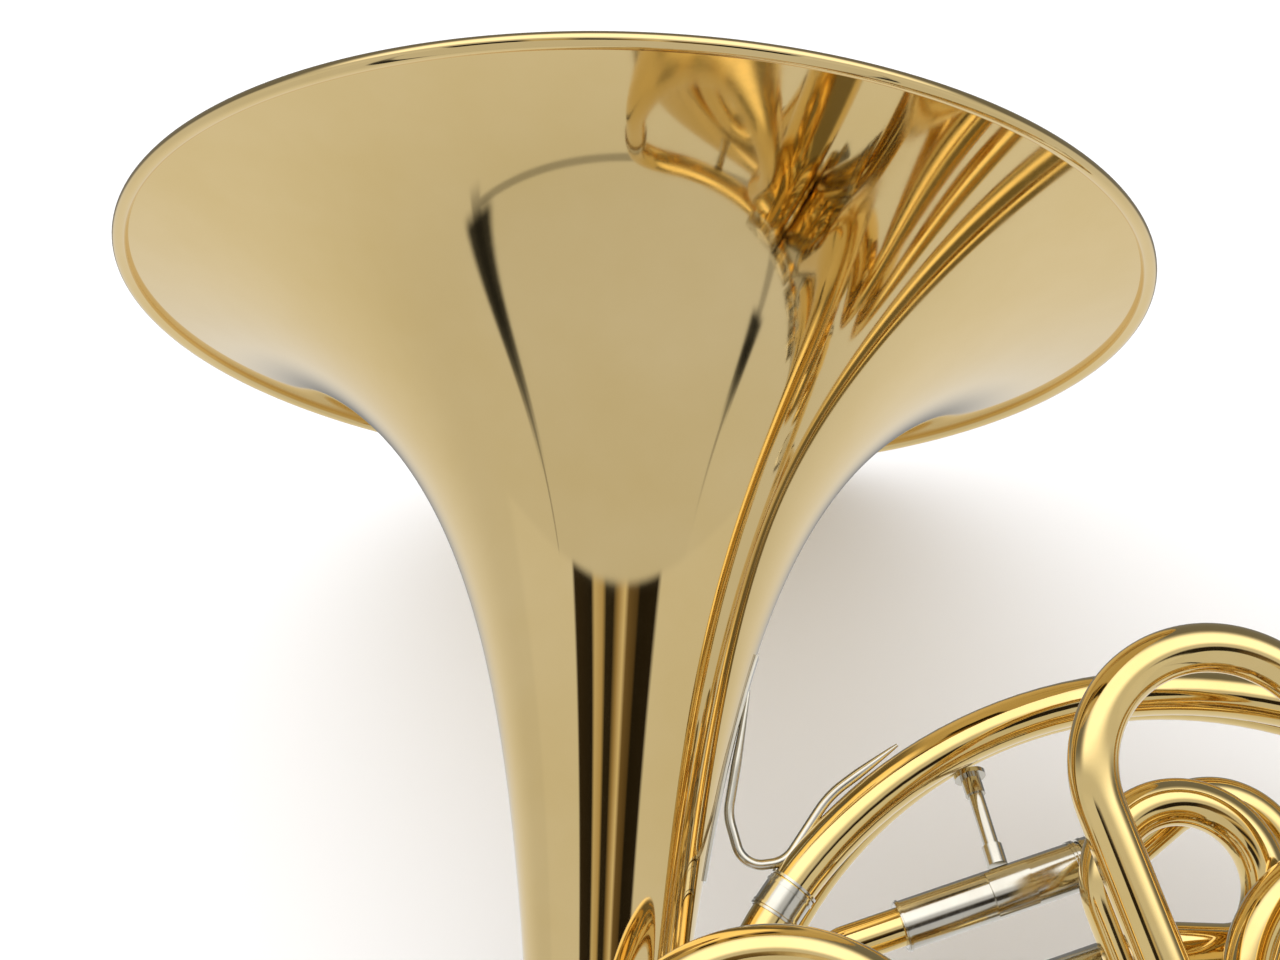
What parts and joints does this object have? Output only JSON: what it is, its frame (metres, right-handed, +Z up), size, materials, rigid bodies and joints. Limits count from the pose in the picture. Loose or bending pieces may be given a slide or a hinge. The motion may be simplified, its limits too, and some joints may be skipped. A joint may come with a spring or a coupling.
{
  "type": "double horn",
  "caption": "Double horn with a wide flared bell, coiled tubing, rotary valves worked by finger levers and a thumb lever, pull-out tuning slides and a funnel mouthpiece.",
  "frame": {"origin": "on the table, under the middle of the bounding box", "axes": "+Z up with the horn lying on its bell rim and its back, valves uppermost; the bell opens towards +Y and a little up; the mouthpiece points towards +X and -Y"},
  "size_m": [0.5197, 0.4826, 0.3002],
  "materials": {
    "lacquered_brass": "lacquered, polished",
    "nickel_silver": "lacquered nickel silver, polished",
    "rotor_brass": "ground",
    "silver_plate": "silver plated, polished",
    "steel": "turned",
    "cork": "cork, matte"
  },
  "bodies": {
    "horn": {"bell": "lacquered_brass", "bell_tail": "lacquered_brass", "bell_branch": "lacquered_brass", "mouthpipe": "lacquered_brass", "valve_casing_1": "lacquered_brass", "valve_casing_2": "lacquered_brass", "valve_casing_3": "lacquered_brass", "change_casing": "lacquered_brass", "f_crook": "lacquered_brass", "f_branch": "lacquered_brass", "b_branch": "lacquered_brass", "tail_ferrule": "nickel_silver", "tube_ferrules": "nickel_silver", "mouthpiece_receiver": "nickel_silver", "main_slide_sleeves": "nickel_silver", "bearing_plates": "nickel_silver", "back_plates": "nickel_silver", "valve_caps": "nickel_silver", "slide_sleeves_1": "nickel_silver", "slide_sleeves_2": "nickel_silver", "slide_sleeves_3": "nickel_silver", "f_tuning_sleeves": "nickel_silver", "bell_brace_plate": "nickel_silver", "bell_brace": "nickel_silver", "main_slide_brace": "nickel_silver", "body_braces": "nickel_silver", "lever_rack": "nickel_silver", "thumb_bracket": "nickel_silver", "finger_hook": "nickel_silver", "water_key_seat": "nickel_silver", "rim_wire": "steel", "lever_hinge_rod": "steel", "lever_springs": "steel", "stop_corks": "cork"},
    "mouthpiece": {"mouthpiece": "silver_plate"},
    "main_slide": {"main_slide": "lacquered_brass"},
    "f_tuning_slide": {"f_tuning_slide": "lacquered_brass"},
    "thumb_lever": {"thumb_lever": "nickel_silver"},
    "thumb_link": {"thumb_link": "nickel_silver"},
    "change_valve": {"change_rotor": "rotor_brass", "change_stop_arm": "nickel_silver"},
    "water_key": {"water_key": "nickel_silver"},
    "valve_1": {"rotor_1": "rotor_brass", "stop_arm_1": "nickel_silver"},
    "finger_lever_1": {"finger_lever_1": "nickel_silver"},
    "link_rod_1": {"link_rod_1": "nickel_silver"},
    "f_slide_1": {"f_slide_1": "lacquered_brass"},
    "b_slide_1": {"b_slide_1": "lacquered_brass"},
    "valve_2": {"rotor_2": "rotor_brass", "stop_arm_2": "nickel_silver"},
    "finger_lever_2": {"finger_lever_2": "nickel_silver"},
    "link_rod_2": {"link_rod_2": "nickel_silver"},
    "f_slide_2": {"f_slide_2": "lacquered_brass"},
    "b_slide_2": {"b_slide_2": "lacquered_brass"},
    "valve_3": {"rotor_3": "rotor_brass", "stop_arm_3": "nickel_silver"},
    "finger_lever_3": {"finger_lever_3": "nickel_silver"},
    "link_rod_3": {"link_rod_3": "nickel_silver"},
    "f_slide_3": {"f_slide_3": "lacquered_brass"},
    "b_slide_3": {"b_slide_3": "lacquered_brass"}
  },
  "joints": [
    {"name": "finger_lever_1_hinge", "type": "hinge", "parent": "horn", "child": "finger_lever_1", "pos_m": [0.05429, -0.13688, 0.0627], "axis": [0.9842, 0.0467, -0.1708], "range_deg": [0, 13.54], "stiffness_Nm_per_rad": 0.15, "springref_deg": -14.32},
    {"name": "link_rod_1_pivot", "type": "hinge", "parent": "finger_lever_1", "child": "link_rod_1", "pos_m": [0.04292, -0.13193, 0.02852], "axis": [0.9842, 0.0467, -0.1708], "range_deg": [-13.55, 0]},
    {"name": "valve_1_spin", "type": "hinge", "parent": "horn", "child": "valve_1", "pos_m": [0.0539, -0.06686, 0.07962], "axis": [-0.1771, 0.2597, -0.9493], "range_deg": [0, 90]},
    {"name": "finger_lever_2_hinge", "type": "hinge", "parent": "horn", "child": "finger_lever_2", "pos_m": [0.0971, -0.13485, 0.05527], "axis": [0.9842, 0.0467, -0.1708], "range_deg": [0, 13.54], "stiffness_Nm_per_rad": 0.15, "springref_deg": -14.32},
    {"name": "link_rod_2_pivot", "type": "hinge", "parent": "finger_lever_2", "child": "link_rod_2", "pos_m": [0.08573, -0.1299, 0.02109], "axis": [0.9842, 0.0467, -0.1708], "range_deg": [-13.55, 0]},
    {"name": "valve_2_spin", "type": "hinge", "parent": "horn", "child": "valve_2", "pos_m": [0.09671, -0.06483, 0.07218], "axis": [-0.1771, 0.2597, -0.9493], "range_deg": [0, 90]},
    {"name": "finger_lever_3_hinge", "type": "hinge", "parent": "horn", "child": "finger_lever_3", "pos_m": [0.13991, -0.13282, 0.04784], "axis": [0.9842, 0.0467, -0.1708], "range_deg": [0, 13.54], "stiffness_Nm_per_rad": 0.15, "springref_deg": -14.32},
    {"name": "link_rod_3_pivot", "type": "hinge", "parent": "finger_lever_3", "child": "link_rod_3", "pos_m": [0.12854, -0.12786, 0.01366], "axis": [0.9842, 0.0467, -0.1708], "range_deg": [-13.55, 0]},
    {"name": "valve_3_spin", "type": "hinge", "parent": "horn", "child": "valve_3", "pos_m": [0.13952, -0.0628, 0.06475], "axis": [-0.1771, 0.2597, -0.9493], "range_deg": [0, 90]},
    {"name": "thumb_lever_hinge", "type": "hinge", "parent": "horn", "child": "thumb_lever", "pos_m": [0.02367, -0.13577, 0.01316], "axis": [-0.1771, 0.2597, -0.9493], "range_deg": [0, 23.31], "stiffness_Nm_per_rad": 0.08, "springref_deg": -17.19},
    {"name": "thumb_link_pivot", "type": "hinge", "parent": "thumb_lever", "child": "thumb_link", "pos_m": [0.00343, -0.14082, 0.01555], "axis": [-0.1771, 0.2597, -0.9493], "range_deg": [-23.32, 0]},
    {"name": "change_valve_spin", "type": "hinge", "parent": "horn", "child": "change_valve", "pos_m": [0.01699, -0.06861, 0.08602], "axis": [-0.1771, 0.2597, -0.9493], "range_deg": [0, 90]},
    {"name": "f_slide_1_pull", "type": "slide", "parent": "horn", "child": "f_slide_1", "axis": [0, 0.9646, 0.2639], "range_m": [0, 0.02]},
    {"name": "b_slide_1_pull", "type": "slide", "parent": "horn", "child": "b_slide_1", "axis": [0, 0.9646, 0.2639], "range_m": [0, 0.024]},
    {"name": "f_slide_2_pull", "type": "slide", "parent": "horn", "child": "f_slide_2", "axis": [0, 0.9646, 0.2639], "range_m": [0, 0.008]},
    {"name": "b_slide_2_pull", "type": "slide", "parent": "horn", "child": "b_slide_2", "axis": [0, 0.9646, 0.2639], "range_m": [0, 0.008]},
    {"name": "f_slide_3_pull", "type": "slide", "parent": "horn", "child": "f_slide_3", "axis": [0, 0.9646, 0.2639], "range_m": [0, 0.035]},
    {"name": "b_slide_3_pull", "type": "slide", "parent": "horn", "child": "b_slide_3", "axis": [0, 0.9646, 0.2639], "range_m": [0, 0.025]},
    {"name": "main_slide_pull", "type": "slide", "parent": "horn", "child": "main_slide", "axis": [0.9231, 0.3785, -0.0687], "range_m": [0, 0.016]},
    {"name": "f_tuning_slide_pull", "type": "slide", "parent": "horn", "child": "f_tuning_slide", "axis": [0.9842, 0.0467, -0.1708], "range_m": [0, 0.018]},
    {"name": "mouthpiece_pull", "type": "slide", "parent": "horn", "child": "mouthpiece", "axis": [0.8218, -0.5428, -0.1734], "range_m": [0, 0.03]},
    {"name": "water_key_hinge", "type": "hinge", "parent": "horn", "child": "water_key", "pos_m": [-0.04493, -0.05194, 0.05578], "axis": [0.1771, -0.2597, 0.9493], "range_deg": [0, 20], "stiffness_Nm_per_rad": 0.02, "springref_deg": -28.65}
  ],
  "couplings": [
    {"joint": "link_rod_1_pivot", "follows": "finger_lever_1_hinge", "ratio": -1},
    {"joint": "valve_1_spin", "follows": "finger_lever_1_hinge", "ratio": 6.6484},
    {"joint": "link_rod_2_pivot", "follows": "finger_lever_2_hinge", "ratio": -1},
    {"joint": "valve_2_spin", "follows": "finger_lever_2_hinge", "ratio": 6.6484},
    {"joint": "link_rod_3_pivot", "follows": "finger_lever_3_hinge", "ratio": -1},
    {"joint": "valve_3_spin", "follows": "finger_lever_3_hinge", "ratio": 6.6484},
    {"joint": "thumb_link_pivot", "follows": "thumb_lever_hinge", "ratio": -1},
    {"joint": "change_valve_spin", "follows": "thumb_lever_hinge", "ratio": 3.8603}
  ]
}
